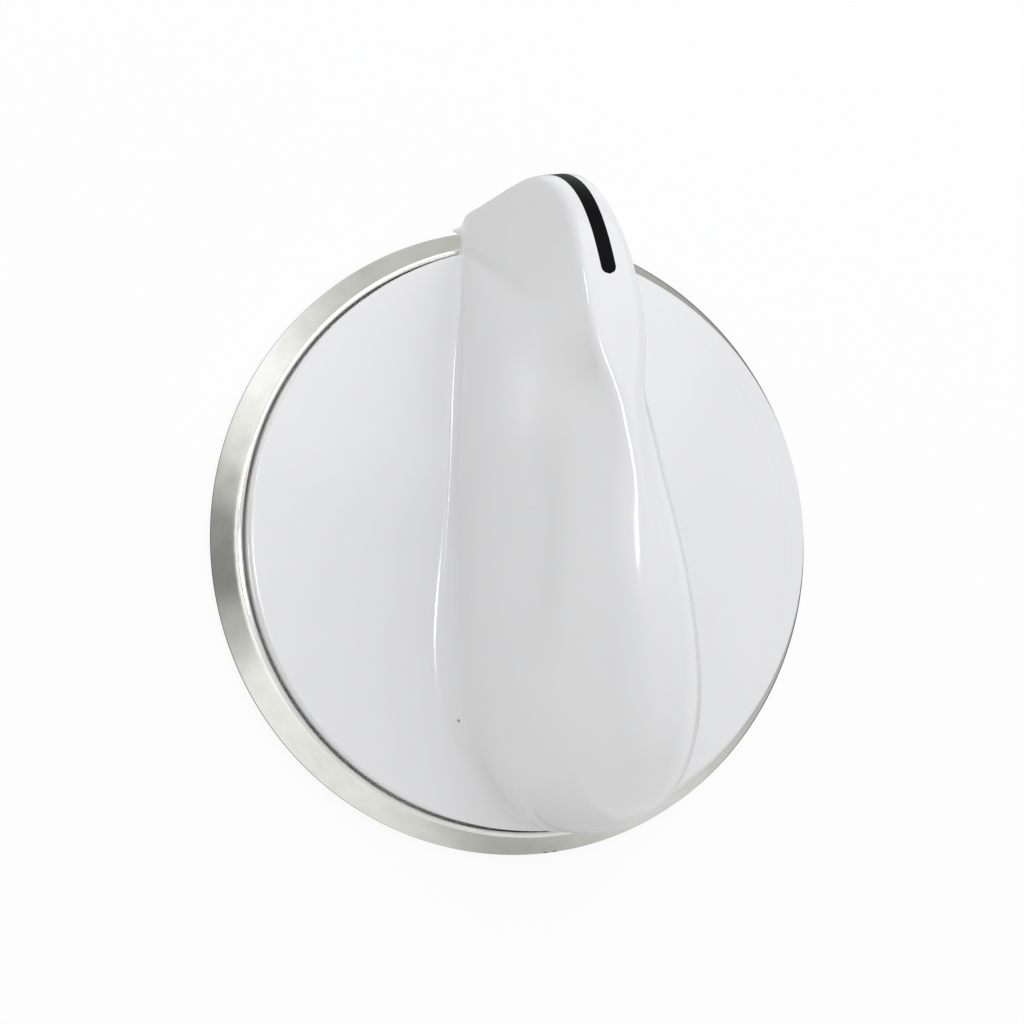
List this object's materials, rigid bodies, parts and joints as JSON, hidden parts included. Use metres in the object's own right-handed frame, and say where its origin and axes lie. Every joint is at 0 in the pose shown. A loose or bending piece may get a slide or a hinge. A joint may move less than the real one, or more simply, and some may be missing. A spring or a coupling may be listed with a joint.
{
  "type": "stove knob",
  "caption": "White moulded cooker control knob: domed round face in a chromed skirt ring, tall teardrop pointer grip with a black indicator line, hollow back with a flatted stem socket.",
  "frame": {"origin": "centre of the ring's back face, on the axis of the valve stem", "axes": "+Z out of the panel along the stem axis, +Y towards the pointer, +X to the right of someone facing the knob with the pointer up"},
  "size_m": [0.06, 0.0613, 0.0334],
  "materials": {
    "white_plastic": "smooth injection-moulded white, glossy",
    "chrome_plate": "bright chrome plate with light handling marks",
    "black_fill": "black paint fill, semi-gloss",
    "spring_steel": "rolled spring steel strip"
  },
  "bodies": {
    "root": {"knob_body": "white_plastic", "chrome_ring": "chrome_plate", "indicator_line": "black_fill", "shaft_spring": "spring_steel"}
  },
  "joints": []
}
